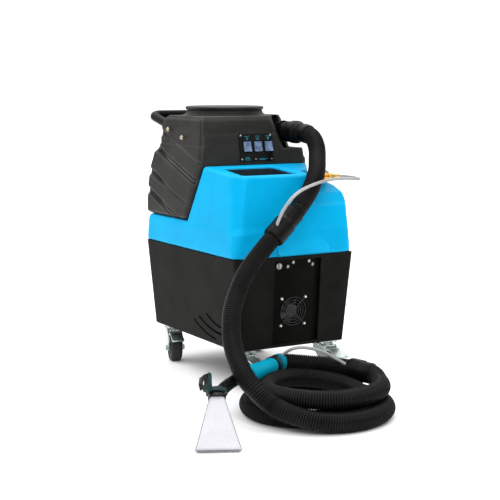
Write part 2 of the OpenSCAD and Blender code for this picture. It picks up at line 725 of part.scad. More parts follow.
module switch_panel() color([0.03, 0.03, 0.035]) seat() {
    difference() {
        union() {
            tank_front() translate([switch_x - switch_w / 2, -3.2, switch_up - switch_h / 2])
                cube([switch_w, 3, switch_h]);
            for (k = [-1:1]) at_rocker(k)
                translate([-rocker_w / 2 - 2.5, -5, -rocker_h / 2 - 3]) cube([rocker_w + 5, 22, rocker_h + 6]);
        }
        for (k = [-1:1]) at_rocker(k) {
            translate([-rocker_w / 2 - 0.5, -6, -rocker_h / 2 - 1.4]) cube([rocker_w + 1, 20, rocker_h + 2.8]);
            translate([-rocker_w / 2 - 2, 4, 0]) rotate([0, 90, 0])
                cylinder(h = rocker_w + 4, r = rocker_pin_r + fit);
        }
    }
}

rocker_outline = [[-5.2, -13.2], [-8.6, -13.4], [-5.4, 0], [-4.6, 13.4], [-1, 13.4], [9, 5], [9, -5],
    [-1, -13.4]];
module rocker(k) color([0.55, 0.56, 0.85]) seat() at_rocker(k) {
    translate([-rocker_w / 2, 0, 0]) rotate([90, 0, 90]) linear_extrude(rocker_w) polygon(rocker_outline);
    translate([-rocker_w / 2 - 1.6, 4, 0]) rotate([0, 90, 0]) cylinder(h = rocker_w + 3.2, r = rocker_pin_r);
}

switch_screw_spots = [[-46, 32], [46, 32], [-46, -32], [-4, -32], [46, -32]];
module switch_screws() color([0.82, 0.82, 0.80]) seat() tank_front() for (p = switch_screw_spots)
    translate([switch_x + p.x, -3.2, switch_up + p.y])
        rotate([90, 0, 0]) cylinder(h = 1.6, r1 = 2.8, r2 = 1.8);

// ---- hose inlet, drain and coupler ----

module hose_inlet() color([0.05, 0.05, 0.05]) seat()
    translate([inlet_x, inlet_face_y, inlet_z]) rotate([90, 0, 0])
    difference() {
        union() {
            translate([0, 0, 0.2]) cylinder(h = 4, r = inlet_r + 2);
            translate([0, 0, -12]) cylinder(h = 40, r = hose_bore_r + 3);
            for (k = [0:1]) translate([0, 0, 7 + k * 6]) cylinder(h = 3, r = inlet_r - 2);
        }
        translate([0, 0, -40]) cylinder(h = 80, r = hose_bore_r);
    }

module hose_elbow() color([0.06, 0.06, 0.06]) seat() {
    tube(elbow_route, hose_r, hose_sides * 2);
    translate([inlet_x, -6, inlet_z]) rotate([90, 0, 0]) difference() {
        union() {
            translate([0, 0, -4]) cylinder(h = 26, r = inlet_r);
            translate([0, 0, 20]) cylinder(h = 26, r = inlet_r + 3);
            translate([0, 0, 46]) cylinder(h = 12, r1 = inlet_r + 3, r2 = hose_r + 1);
        }
        translate([0, 0, -5]) cylinder(h = 9.2, r = hose_bore_r + 3.2);
    }
    along([elbow_route[3], elbow_route[4]]) cylinder(h = 22, r = hose_r + 2.5);
}

module drain_valve() color([0.06, 0.06, 0.06]) seat() translate([0, drain_y, drain_z]) rotate([-90, 0, 0])
    difference() {
        union() {
            translate([0, 0, -16]) cylinder(h = 20, r = 19);
            translate([0, 0, 3.2]) cylinder(h = 5, r = 30);
            cylinder(h = 42, r = 19);
            translate([0, 0, 36]) cylinder(h = 8, r = 23);
            translate([0, 0, 22]) rotate([90, 0, 0]) cylinder(h = 26, r = 8);
        }
        translate([0, 0, -20]) cylinder(h = 70, r = 14);
        translate([0, -10, 22]) rotate([90, 0, 0]) cylinder(h = 20, r = 4 + fit);
    }

module drain_lever() color([0.75, 0.08, 0.06]) seat() translate([0, drain_y + 22, drain_z]) {
    translate([0, 0, 26.3]) cylinder(h = 5, r = 9);
    translate([0, 0, 14.5]) cylinder(h = 14, r = 4);
    translate([-7, -2, 26.3]) cube([14, 6, 5]);
    translate([-8, -2, 27.3]) cube([62, 11, 4]);
}

module solution_coupler() color([0.80, 0.62, 0.26]) seat()
    translate([0, coupler_y, coupler_z]) rotate([0, 90, 0]) {
    translate([0, 0, 44]) cylinder(h = 34, r = 8);
    translate([0, 0, 78]) cylinder(h = 12, r = 11, $fn = 6);
    translate([0, 0, 90]) cylinder(h = 8, r = 7);
    translate([0, 0, 98]) cylinder(h = 14, r = 11.5, $fn = 6);
    difference() {
        translate([0, 0, 112]) cylinder(h = 26, r = 8.6);
        translate([0, 0, 118]) cylinder(h = 22, r = 6.05);
    }
}

module coupler_collar() color([0.78, 0.45, 0.12]) seat()
    translate([116, coupler_y, coupler_z]) rotate([0, 90, 0])
    difference() {
        union() {
            cylinder(h = 18, r = 11);
            for (z = [1, 14]) translate([0, 0, z]) cylinder(h = 3, r = 12);
        }
        translate([0, 0, -1]) cylinder(h = 20, r = 8.6 + fit);
    }

module coupler_plug() color([0.85, 0.70, 0.35]) seat()
    translate([0, coupler_y, coupler_z]) rotate([0, 90, 0]) {
    translate([0, 0, 124]) cylinder(h = 20, r = 6);
    translate([0, 0, 143]) cylinder(h = 10, r = 8.5, $fn = 6);
    translate([0, 0, 153]) cylinder(h = 15, r = 6.5);
}

// ---- vacuum hose ----

module upper_hose() color([0.05, 0.05, 0.05]) seat() tube(upper_route, hose_r, hose_sides);

module mid_cuff() color([0.07, 0.07, 0.07]) seat() {
    along(mid_cuff_ends) {
        cylinder(h = 34, r = 25.5);
        translate([0, 0, 32]) cylinder(h = 8, r1 = 25.5, r2 = 28.5);
        translate([0, 0, 40]) cylinder(h = 50, r = 28.5);
        translate([0, 0, 89]) cylinder(h = 4, r1 = 28.5, r2 = 26);
    }
    translate([-98, -321, 413]) cylinder(h = 24, r = 7.5);
}

module lower_hose() color([0.05, 0.05, 0.05]) seat() tube(lower_route, hose_r, hose_sides);

module coil_turns(r_in, r_out, z0, turn_from, turn_to) translate([coil_at.x, coil_at.y, z0])
    rotate([0, 0, turn_from]) rotate_extrude(angle = turn_to - turn_from, $fn = 72) {
        translate([r_in + hose_r, hose_r]) circle(hose_r, $fn = 24);
        translate([r_out - hose_r, hose_r]) circle(hose_r, $fn = 24);
        translate([r_in + hose_r, 0]) square([max(0.1, r_out - r_in - 2 * hose_r), 2 * hose_r]);
    }

// The coil's outline: two turns side by side on the floor, the rest of them on top
module hose_coil() color([0.05, 0.05, 0.05]) seat() {
    coil_turns(coil_in, coil_out, 0, 0, 360);
    coil_turns(coil_in, coil_in + 2 * hose_r, coil_step, 0, 360);
    coil_turns(coil_in + 2, coil_out, coil_step, 250, 362);
}

module tool_cuff() color([0.07, 0.07, 0.07]) seat() {
    along(tool_cuff_ends) {
        cylinder(h = 24, r = 26);
        translate([0, 0, 24]) cylinder(h = 38, r = 28);
    }
    along(line_boss_ends) cylinder(h = norm(line_boss_ends[1] - line_boss_ends[0]), r = 7.5);
}

module tail_hose() color([0.05, 0.05, 0.05]) seat() tube(tail_route, hose_r, hose_sides);

module upper_line() color([0.72, 0.72, 0.72]) seat() tube(upper_line_route, line_r, line_sides);

module lower_line() color([0.72, 0.72, 0.72]) seat() tube(lower_line_route, line_r, line_sides);

// ---- hand tool ----

module tool_grip() color([0.0, 0.66, 0.82]) seat() along(grip_ends) {
    len = norm(grip_ends[1] - grip_ends[0]);
    rotate_extrude() polygon([
        [0, 0], [21, 0], [grip_r, 3], [grip_r, 22], [20.5, 60], [20.5, len - 70], [grip_r, len - 24],
        [grip_r, len - 3], [21, len], [0, len]]);
}

module tool_tube() color([0.06, 0.06, 0.06]) seat() {
    tube(tool_route, tube_r, hose_sides);
    tool_head() {
        translate([0, 0, -2]) cylinder(h = 8, r = 20);
        translate([0, 0, 10]) cylinder(h = 7, r = 21);
    }
}

module tool_nozzle() color([0.93, 0.94, 0.95]) seat() tool_head() difference() {
    hull() {
        translate([-throat_w / 2, -15, -6]) cube([throat_w, 30, 3.5]);
        translate([-nozzle_w / 2, -7, -nozzle_len]) cube([nozzle_w, 14, 8]);
    }
    hull() {
        translate([-throat_w / 2 + 2, -13, -4]) cube([throat_w - 4, 26, 3]);
        translate([-nozzle_w / 2 + 2, -5, -nozzle_len - 1]) cube([nozzle_w - 4, 10, 8]);
    }
}

module tool_valve() color([0.10, 0.35, 0.36]) seat() tool_head() {
    rotate([0, 0, valve_turn]) difference() {
        union() {
            translate([-7, -34, 8]) cube([14, 15, 16]);
            for (x = [-7.5, 5.5]) translate([x, -30, 23]) cube([2, 10, 28]);
        }
        translate([-10, trigger_pivot.x, trigger_pivot.y]) rotate([0, 90, 0]) cylinder(h = 20, r = 2 + fit);
    }
    translate([0, 0, 9]) difference() {
        cylinder(h = 9, r = 24);
        translate([0, 0, -1]) cylinder(h = 11, r = 20.6);
    }
    translate([jet_at.x, jet_at.y, -26]) cylinder(h = 42, r = 3.5);
    translate([jet_at.x, jet_at.y, -36]) cylinder(h = 12, r1 = 5.5, r2 = 3);
}

module tool_trigger() color([0.03, 0.03, 0.03]) seat() tool_head() rotate([0, 0, valve_turn]) {
    translate([-7, trigger_pivot.x, trigger_pivot.y]) rotate([0, 90, 0]) cylinder(h = 14, r = 2);
    translate([-4.5, 0, 0]) rotate([90, 0, 90]) linear_extrude(9) polygon(trigger_outline);
}

base_shell();
front_panel();
panel_fasteners();
fan_frame();
fan_rotor();
fan_guard();
fan_screws();
power_inlets();
vacuum_motor();
solution_pump();
caster_plates();
caster_bolts();
fork(0);  // fork_front_left
fork(1);  // fork_front_right
fork(2);  // fork_rear_left
fork(3);  // fork_rear_right
wheel(0);  // wheel_front_left
wheel(1);  // wheel_front_right
wheel(2);  // wheel_rear_left
wheel(3);  // wheel_rear_right
brake(0);  // brake_front_left
brake(1);  // brake_front_right
brake(2);  // brake_rear_left
brake(3);  // brake_rear_right
solution_tank();
bin_liner();
fill_cap();
recovery_tank();
standpipe();
lid_gasket();
lid();
handle();
handle_screws();
switch_panel();
rocker(-1);  // rocker_left
rocker(0);  // rocker_middle
rocker(1);  // rocker_right
switch_screws();
hose_inlet();
hose_elbow();
drain_valve();
drain_lever();
solution_coupler();
coupler_collar();
coupler_plug();
upper_hose();
mid_cuff();
lower_hose();
hose_coil();
tool_cuff();
tail_hose();
upper_line();
lower_line();
tool_grip();
tool_tube();
tool_nozzle();
tool_valve();
tool_trigger();
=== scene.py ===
"""Portable carpet extractor: a black base on casters, a blue solution tank with a tool bin, a black
recovery tank with its lid and handle, a coiled vacuum hose and a hand tool with a flat nozzle."""

import math

import bmesh
import bpy
import numpy as np
from mathutils import Matrix, Vector


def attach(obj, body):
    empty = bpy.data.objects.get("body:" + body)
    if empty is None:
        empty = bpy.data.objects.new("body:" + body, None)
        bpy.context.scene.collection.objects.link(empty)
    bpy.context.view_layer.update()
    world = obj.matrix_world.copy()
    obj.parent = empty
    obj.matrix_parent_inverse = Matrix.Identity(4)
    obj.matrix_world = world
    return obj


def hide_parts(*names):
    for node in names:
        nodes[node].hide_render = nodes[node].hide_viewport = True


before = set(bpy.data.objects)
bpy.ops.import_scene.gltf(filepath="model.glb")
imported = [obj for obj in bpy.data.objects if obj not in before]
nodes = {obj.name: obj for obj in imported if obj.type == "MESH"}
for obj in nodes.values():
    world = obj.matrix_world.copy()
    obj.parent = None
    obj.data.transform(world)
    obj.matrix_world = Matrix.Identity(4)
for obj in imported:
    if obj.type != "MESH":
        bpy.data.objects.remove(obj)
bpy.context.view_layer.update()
scene = bpy.context.scene

MM = 0.001
# The machine's own frame lies this far along Y in the shared frame, in millimetres
BODY_Y = -11.9


# ---- places ----

def at(x, y, z):
    """A point of the machine's own frame, in millimetres, as metres of the shared frame."""
    return Vector((x, y + BODY_Y, z)) * MM


def route(rows):
    """Several such points, as rows of an array."""
    return np.array([at(*row) for row in rows])


def aim(start, end):
    """The matrix that carries the Z axis onto the line from start to end."""
    return Matrix.Translation(start) @ (end - start).to_track_quat("Z", "Y").to_matrix().to_4x4()


def leaning(x, y, z, degrees):
    """The frame of a surface that starts at a point and leans about X."""
    return Matrix.Translation(at(x, y, z)) @ Matrix.Rotation(math.radians(degrees), 4, "X")


TANK_FRONT = leaning(0, -46, 566, -8)
HANDLE_FRAME = leaning(0, 48, 634, 13)
TOOL_HEAD = Matrix.Translation(at(-418, -599, 100)) @ (
    Matrix.Rotation(math.radians(-26), 4, "Z") @ Matrix.Rotation(math.radians(-39), 4, "X"))


# ---- camera, floor and light ----

def add_camera():
    """A long lens in front of the left corner, a little above the machine and looking slightly down."""
    tilt, turn = 90 - 7.79, -30.1
    camera = bpy.data.objects.new("camera", bpy.data.cameras.new("camera"))
    camera.data.lens = 89.3
    camera.data.sensor_width = 36
    camera.data.clip_end = 40
    camera.location = at(-1682, -2924, 789)
    camera.rotation_euler = (math.radians(tilt), 0, math.radians(turn))
    scene.collection.objects.link(camera)
    scene.camera = camera


def add_light(name, place, target, size, power):
    light = bpy.data.objects.new(name, bpy.data.lights.new(name, "AREA"))
    light.data.shape = "RECTANGLE"
    light.data.size, light.data.size_y = size
    light.data.energy = power
    light.location = place
    light.rotation_euler = (Vector(target) - Vector(place)).to_track_quat("-Z", "Y").to_euler()
    scene.collection.objects.link(light)


def add_room():
    """A bright ceiling, a paler far end and a dim near end; the backdrop itself is plain white."""
    world = bpy.data.worlds.new("studio")
    world.use_nodes = True
    tree = world.node_tree
    room = tree.nodes["Background"]
    room.inputs["Color"].default_value = (1, 1, 1, 1)
    split = linked(tree, "SeparateXYZ")
    tree.links.new(linked(tree, "TexCoord").outputs["Generated"], split.inputs["Vector"])
    ceiling = linked(tree, "MapRange", From_Min=0.1, From_Max=0.75, To_Min=0.12, To_Max=1.9)
    far_end = linked(tree, "MapRange", From_Min=-0.2, From_Max=0.7, To_Max=0.30)
    total = linked(tree, "Math", operation="ADD")
    tree.links.new(split.outputs["Z"], ceiling.inputs["Value"])
    tree.links.new(split.outputs["Y"], far_end.inputs["Value"])
    tree.links.new(ceiling.outputs["Result"], total.inputs[0])
    tree.links.new(far_end.outputs["Result"], total.inputs[1])
    tree.links.new(total.outputs["Value"], room.inputs["Strength"])
    backdrop = tree.nodes.new("ShaderNodeBackground")
    backdrop.inputs["Strength"].default_value = 1.4
    choice = tree.nodes.new("ShaderNodeMixShader")
    tree.links.new(linked(tree, "LightPath").outputs["Is Camera Ray"], choice.inputs[0])
    tree.links.new(room.outputs[0], choice.inputs[1])
    tree.links.new(backdrop.outputs[0], choice.inputs[2])
    tree.links.new(choice.outputs[0], tree.nodes["World Output"].inputs["Surface"])
    scene.world = world
    scene.view_settings.view_transform = "Standard"


def add_lights():
    """A key light over the camera's shoulder, a sheen along the left side and a soft top light."""
    middle = (0, -0.1, 0.4)
    add_light("key_softbox", (-1.5, -2.6, 2.5), middle, size=(1.8, 1.8), power=26)
    add_light("sheen_panel", (-2.0, 1.9, 0.9), middle, size=(1.8, 1.6), power=5)
    add_light("top_softbox", (0.1, 0.3, 2.8), middle, size=(1.6, 1.4), power=14)


def add_floor():
    half = 9
    corners = [(-half, -half, 0), (half, -half, 0), (half, half, 0), (-half, half, 0)]
    floor = bpy.data.objects.new("floor", bpy.data.meshes.new("floor"))
    floor.data.from_pydata(corners, [], [(0, 1, 2, 3)])
    pale = plastic("pale_floor", (0.93, 0.93, 0.93), (0.96, 0.96, 0.96), 0.8, 40, 0.02)
    floor.data.materials.append(pale)
    scene.collection.objects.link(floor)


# ---- finishes ----

def linked(tree, kind, **values):
    """A new node of the kind, with the named inputs or settings."""
    node = tree.nodes.new("ShaderNode" + kind)
    for key, value in values.items():
        if hasattr(node, key):
            setattr(node, key, value)
        else:
            node.inputs[key.replace("_", " ")].default_value = value
    return node


def plastic(name, dark, light, rough, grain, depth, metallic=0.0, wear_and_highlight=None, blotch=11.0, gloss=0.25):
    """A procedural finish: colour drifts from dark to light, roughness and relief follow a grain.
    grain and blotch are in repeats a metre and depth is the relief in millimetres. The edge colour, if
    given, paints raised edges paler, partly as rubbed wear and partly as a painted highlight; gloss is the
    strength of the reflection."""
    spread = 0.08
    material = bpy.data.materials.new(name)
    material.use_nodes = True
    tree = material.node_tree
    shader = tree.nodes["Principled BSDF"]
    shader.inputs["Metallic"].default_value = metallic
    shader.inputs["Specular IOR Level"].default_value = gloss
    place = linked(tree, "TexCoord").outputs["Object"]
    drift = linked(tree, "TexNoise", Scale=blotch, Detail=5.0, Roughness=0.6)
    fine = linked(tree, "TexNoise", Scale=grain, Detail=3.0, Roughness=0.55)
    for noise in (drift, fine):
        tree.links.new(place, noise.inputs["Vector"])
    blend = linked(tree, "MixRGB", Color1=(*dark, 1), Color2=(*light, 1))
    stretch = linked(tree, "MapRange", From_Min=0.32, From_Max=0.68)
    tree.links.new(drift.outputs["Fac"], stretch.inputs["Value"])
    tree.links.new(stretch.outputs["Result"], blend.inputs["Fac"])
    colour = blend.outputs["Color"]
    if wear_and_highlight:
        colour = wear_and_highlight_edges(tree, colour, wear_and_highlight, drift.outputs["Fac"])
    tree.links.new(colour, shader.inputs["Base Color"])
    haze = linked(tree, "MapRange", From_Min=0.25, From_Max=0.75, To_Min=rough - spread,
                  To_Max=rough + spread)
    tree.links.new(fine.outputs["Fac"], haze.inputs["Value"])
    tree.links.new(haze.outputs["Result"], shader.inputs["Roughness"])
    relief = linked(tree, "Bump", Strength=0.6, Distance=depth * MM)
    tree.links.new(fine.outputs["Fac"], relief.inputs["Height"])
    tree.links.new(relief.outputs["Normal"], shader.inputs["Normal"])
    return material


def wear_and_highlight_edges(tree, colour, wear_and_highlight, drift):
    """Raised edges painted paler than the faces, in patches: partly rubbed wear, partly a painted highlight.
    """
    shape = linked(tree, "NewGeometry").outputs["Pointiness"]
    edge = linked(tree, "MapRange", From_Min=0.505, From_Max=0.56, To_Max=0.75)
    tree.links.new(shape, edge.inputs["Value"])
    patch = linked(tree, "Math", operation="MULTIPLY")
    tree.links.new(edge.outputs["Result"], patch.inputs[0])
    tree.links.new(drift, patch.inputs[1])
    edge_rub_and_highlight = linked(tree, "MixRGB", Color2=(*wear_and_highlight, 1))
    tree.links.new(patch.outputs["Value"], edge_rub_and_highlight.inputs["Fac"])
    tree.links.new(colour, edge_rub_and_highlight.inputs["Color1"])
    return edge_rub_and_highlight.outputs["Color"]


# ---- meshes ----

# The vertical corners of the base and the blue deck, as drawn and as moulded, and how deep their skin is
ROUND_CORNER, CRISP_CORNER, CORNER_WALL = 24, 8, 7
DECK_TOP = 418


def shade_smooth(mesh):
    mesh.polygons.foreach_set("use_smooth", [True] * len(mesh.polygons))


def piece(name, verts, faces, finish, slot, body="machine"):
    """A new mesh object that rides on a body. verts are in metres of the shared frame."""
    mesh = bpy.data.meshes.new(name)
    mesh.from_pydata([tuple(v) for v in verts], [], faces)
    mesh.validate()
    shade_smooth(mesh)
    obj = bpy.data.objects.new(name, mesh)
    scene.collection.objects.link(obj)
    mesh.materials.append(finish)
    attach(obj, body)
    return obj


def bridged(rings, looped=False):
    """Faces between successive rings of equally many points, capped unless the rings are looped."""
    count, sides = len(rings), len(rings[0])
    faces = [(i * sides + k, i * sides + (k + 1) % sides,
              (i + 1) % count * sides + (k + 1) % sides, (i + 1) % count * sides + k)
             for i in range(count if looped else count - 1) for k in range(sides)]
    if not looped:
        faces.append(tuple(range(sides))[::-1])
        faces.append(tuple((count - 1) * sides + k for k in range(sides)))
    return faces


def rounded(profile, size):
    """A (radius, height) profile with its inner corners cut to arcs of about this size."""
    steps, most = 3, 0.45
    rows = [np.array(p, float) for p in profile]
    out = [rows[0]]
    for before, corner, after in zip(rows, rows[1:], rows[2:]):
        back, ahead = before - corner, after - corner
        reach = min(size, most * np.linalg.norm(back), most * np.linalg.norm(ahead))
        start = corner + back / np.linalg.norm(back) * reach
        end = corner + ahead / np.linalg.norm(ahead) * reach
        for t in np.linspace(0, 1, steps + 1):
            out.append((1 - t) ** 2 * start + 2 * t * (1 - t) * corner + t * t * end)
    out.append(rows[-1])
    return out


def lathe(profile, place, sides=64, looped=False):
    """Vertices and faces of a (radius, height) profile turned about the Z axis of a matrix, in mm."""
    turn = [2 * math.pi * k / sides for k in range(sides)]
    rings = []
    for r, h in profile:
        rings.append([place @ (Vector((r * math.cos(a), r * math.sin(a), h)) * MM) for a in turn])
    verts = [v for ring in rings for v in ring]
    return verts, bridged(rings, looped=looped)


def joined(*parts):
    """Several (vertices, faces) pairs as one."""
    verts, faces = [], []
    for part_verts, part_faces in parts:
        faces += [tuple(i + len(verts) for i in face) for face in part_faces]
        verts += list(part_verts)
    return verts, faces


def distance_along(path):
    """How far along the path each of its points lies."""
    return np.concatenate([[0], np.cumsum(np.linalg.norm(np.diff(path, axis=0), axis=1))])


def smooth_route(points, step):
    """A Catmull-Rom curve through the points, resampled evenly."""
    spans = 16
    p = np.vstack([2 * points[0] - points[1], points, 2 * points[-1] - points[-2]])
    t = np.linspace(0, 1, spans, endpoint=False)[:, None]
    fine = [0.5 * (2 * b + (c - a) * t + (2 * a - 5 * b + 4 * c - d) * t ** 2
                   + (3 * b - a - 3 * c + d) * t ** 3)
            for a, b, c, d in zip(p, p[1:], p[2:], p[3:])]
    fine = np.vstack([*fine, points[-1:]])
    run = distance_along(fine)
    count = max(2, round(run[-1] / step) + 1)
    even = np.linspace(0, run[-1], count)
    return np.stack([np.interp(even, run, fine[:, k]) for k in range(3)], axis=1)


def sweep(path, radii, sides):
    """Vertices and faces of a tube along a path. radii is one number, or one for each point and side,
    in metres."""
    radii = np.broadcast_to(np.asarray(radii, float), (len(path), sides))
    tangents = np.gradient(path, axis=0)
    tangents /= np.linalg.norm(tangents, axis=1)[:, None]
    across = np.cross((0.1, 0.2, 1.0), tangents[0])
    angle = np.linspace(0, 2 * np.pi, sides, endpoint=False)
    rings = []
    for point, along, radius in zip(path, tangents, radii):
        across = across - along * across.dot(along)
        across /= np.linalg.norm(across)
        other = np.cross(along, across)
        spokes = np.outer(np.cos(angle), across) + np.outer(np.sin(angle), other)
        rings.append(point + radius[:, None] * spokes)
    return np.vstack(rings), bridged(rings)


def soften(obj, width):
    """Rounds the sharp edges of a machined or moulded shape to about this many millimetres."""
    flat = obj.modifiers.new("flat faces", "DECIMATE")
    flat.decimate_type = "DISSOLVE"
    flat.angle_limit = math.radians(0.5)
    bevel = obj.modifiers.new("rounded edges", "BEVEL")
    bevel.width = width * MM
    bevel.segments = 2
    bevel.limit_method = "ANGLE"
    bevel.angle_limit = math.radians(32)
    bevel.harden_normals = True
    shade_smooth(obj.data)


def dress(name, finish, width):
    """A part kept at its drawn shape, with its finish and rounded edges."""
    node = nodes[name]
    if node.material_slots:
        for holder in node.material_slots:
            holder.material = finish
    else:
        node.data.materials.append(finish)
    soften(node, width)


def settle(obj):
    """Applies the object's modifiers."""
    bpy.context.view_layer.update()
    seen = obj.evaluated_get(bpy.context.evaluated_depsgraph_get())
    mesh = bpy.data.meshes.new_from_object(seen)
    obj.modifiers.clear()
    obj.data = mesh


def corner_growth(c, s):
    """How many times further out a crisp corner lies than a round one, in the direction (c, s) from the
    middle of the round one."""
    shift = ROUND_CORNER - CRISP_CORNER
    if ROUND_CORNER * min(c, s) / max(c, s) <= shift:
        return 1 / max(c, s)
    side = shift * (c + s)
    return (side + math.sqrt(side ** 2 - 2 * shift ** 2 + CRISP_CORNER ** 2)) / ROUND_CORNER


def squared(verts, heights, widths, depths, deck_only=False):
    """Draws a block's vertical corners out to a smaller radius. widths and depths are those at the
    heights, in millimetres. deck_only leaves the front and all above the rear deck as they are."""
    drawn = []
    for x, y, z in verts:
        half_x = np.interp(z / MM, heights, widths) / 2
        half_y = np.interp(z / MM, heights, depths) / 2
        across = abs(x) / MM - half_x + ROUND_CORNER
        along = abs(y / MM - BODY_Y) - half_y + ROUND_CORNER
        reach = math.hypot(across, along)
        on_skin = min(across, along) > 0 and reach > ROUND_CORNER - CORNER_WALL
        if on_skin and not (deck_only and (y < 0 or z > DECK_TOP * MM)):
            grow = corner_growth(across / reach, along / reach) - 1
            x += math.copysign(across * grow * MM, x)
            y += math.copysign(along * grow * MM, y - BODY_Y * MM)
        drawn.append((x, y, z))
    return drawn


def finish_only(obj, finish):
    """Leaves the one finish on an object."""
    obj.data.materials.clear()
    obj.data.materials.append(finish)


def melt(obj, voxel, turns):
    """Melts a shape's edges round, as rotational moulding leaves them. voxel is in millimetres."""
    remesh = obj.modifiers.new("even skin", "REMESH")
    remesh.mode = "VOXEL"
    remesh.voxel_size = voxel * MM
    ease = obj.modifiers.new("soft edges", "SMOOTH")
    ease.factor = 0.5
    ease.iterations = turns
    settle(obj)
    shade_smooth(obj.data)


def cut(obj, verts, faces, operation="DIFFERENCE"):
    """A boolean of the object with a closed shape."""
    mesh = bpy.data.meshes.new("cutter")
    mesh.from_pydata([tuple(v) for v in verts], [], faces)
    tool = bpy.data.objects.new("cutter", mesh)
    scene.collection.objects.link(tool)
    step = obj.modifiers.new("cut", "BOOLEAN")
    step.operation = operation
    step.object = tool
    settle(obj)
    bpy.data.objects.remove(tool)


def hull(points):
    """Vertices and faces of the convex hull of some points."""
    shell = bmesh.new()
    for point in points:
        shell.verts.new(point)
    bmesh.ops.convex_hull(shell, input=shell.verts)
    bmesh.ops.delete(shell, geom=[v for v in shell.verts if not v.link_faces], context="VERTS")
    shell.verts.index_update()
    verts = [v.co.copy() for v in shell.verts]
    faces = [tuple(v.index for v in face.verts) for face in shell.faces]
    shell.free()
    return verts, faces


# ---- finishes in use ----

PITCH = (0.002, 0.002, 0.002)
JET = (0.0025, 0.0025, 0.002)
COAL = (0.005, 0.005, 0.005)
SOOT = (0.006, 0.006, 0.005)

# Edge colours below paint raised edges paler: partly rubbed wear, partly a painted highlight.
tank_black = plastic("moulded_black", (0.015, 0.015, 0.0135), (0.028, 0.028, 0.025), 0.50, 700, 0.05,
                     wear_and_highlight=(0.13, 0.13, 0.12), gloss=0.12)
tank_blue = plastic("moulded_blue", (0.0, 0.33, 0.62), (0.0, 0.38, 0.70), 0.42, 420, 0.06,
                    wear_and_highlight=(0.05, 0.50, 0.86), gloss=0.05)
base_black = plastic("base_black", (0.007, 0.007, 0.0062), (0.013, 0.013, 0.0115), 0.50, 800, 0.04,
                     gloss=0.03)
panel_black = plastic("panel_black", JET, SOOT, 0.40, 1100, 0.05, gloss=0.02)
fan_black = plastic("fan_black", PITCH, COAL, 0.42, 900, 0.04, gloss=0.10)
fan_grey = plastic("fan_grey", (0.016, 0.016, 0.017), (0.030, 0.030, 0.032), 0.36, 900, 0.05, gloss=0.4)
hose_black = plastic("hose_black", (0.0015, 0.0015, 0.0015), (0.003, 0.003, 0.003), 0.30, 700, 0.02,
                     wear_and_highlight=(0.032, 0.032, 0.030), gloss=0.06)
cuff_black = plastic("cuff_black", PITCH, (0.005, 0.005, 0.0045), 0.34, 600, 0.04, gloss=0.10)
gloss_black = plastic("gloss_black", (0.002, 0.002, 0.0025), COAL, 0.24, 500, 0.02, gloss=0.3)
handle_black = plastic("handle_black", (0.003, 0.003, 0.003), (0.007, 0.007, 0.007), 0.40, 1500, 0.06,
                       gloss=0.06)
lid_black = plastic("lid_black", (0.004, 0.004, 0.004), (0.009, 0.009, 0.009), 0.38, 700, 0.06, gloss=0.3)
rubber = plastic("tyre_rubber", (0.012, 0.012, 0.012), (0.030, 0.029, 0.027), 0.60, 500, 0.15)
hub_black = plastic("hub_black", (0.030, 0.031, 0.032), (0.055, 0.057, 0.058), 0.42, 600, 0.06)
# Plated zinc for the casters; its teal tint is a painted reflection.
teal_reflection_zinc = plastic("teal_reflection_zinc_plate", (0.34, 0.40, 0.39), (0.56, 0.62, 0.60), 0.30, 260, 0.04,
               metallic=0.9, blotch=60)
steel = plastic("screw_steel", (0.55, 0.54, 0.50), (0.75, 0.73, 0.68), 0.30, 900, 0.02,
                metallic=1.0, blotch=90)
dull_steel = plastic("dull_steel", (0.20, 0.20, 0.19), (0.34, 0.34, 0.32), 0.36, 900, 0.02,
                     metallic=1.0, blotch=90)
warm_steel = plastic("washer_steel", (0.30, 0.25, 0.18), (0.55, 0.50, 0.40), 0.32, 900, 0.02,
                     metallic=1.0, blotch=90)
brass = plastic("brass", (0.56, 0.36, 0.10), (0.80, 0.58, 0.22), 0.27, 700, 0.03, metallic=1.0, blotch=70)
bronze = plastic("bronze", (0.48, 0.20, 0.03), (0.74, 0.36, 0.07), 0.30, 900, 0.06, metallic=1.0, blotch=70)
lit_blue = plastic("lit_rocker", (0.035, 0.075, 0.15), (0.20, 0.28, 0.42), 0.30, 300, 0.02, blotch=70)
slate = plastic("bin_slate", (0.013, 0.020, 0.030), (0.022, 0.032, 0.044), 0.50, 700, 0.10)
cap_blue = plastic("cap_blue", (0.0, 0.22, 0.42), (0.0, 0.28, 0.50), 0.40, 500, 0.08)
grip_cyan = plastic("grip_cyan", (0.0, 0.23, 0.36), (0.0, 0.32, 0.46), 0.42, 800, 0.06, gloss=0.04)
line_grey = plastic("line_grey", (0.26, 0.26, 0.26), (0.42, 0.42, 0.42), 0.36, 900, 0.05)
milky = plastic("milky_white", (0.50, 0.49, 0.53), (0.58, 0.57, 0.61), 0.28, 250, 0.05)
# Dark grey for the nozzle's side ribs: painted shade along the clear plastic's outline.
edge_shade_grey = plastic("edge_shade_grey", (0.03, 0.03, 0.03), (0.07, 0.07, 0.07), 0.35, 400, 0.05)
pipe_white = plastic("pipe_white", (0.66, 0.66, 0.62), (0.80, 0.80, 0.77), 0.40, 300, 0.05)
lever_red = plastic("lever_red", (0.50, 0.02, 0.015), (0.64, 0.04, 0.03), 0.38, 500, 0.06)
valve_teal = plastic("valve_teal", (0.004, 0.014, 0.016), (0.010, 0.045, 0.048), 0.40, 500, 0.08)
motor_grey = plastic("motor_grey", (0.22, 0.22, 0.23), (0.34, 0.34, 0.35), 0.45, 300, 0.08, metallic=0.6)
icon_cyan = plastic("icon_cyan", (0.01, 0.24, 0.30), (0.03, 0.34, 0.40), 0.45, 600, 0.02)

add_camera()
add_room()
add_lights()
add_floor()


# ---- vacuum hose ----

HOSE_R, RIB_DEPTH, RIB_PITCH, STEPS_A_RIB = 23.0, 3.0, 5.6, 5

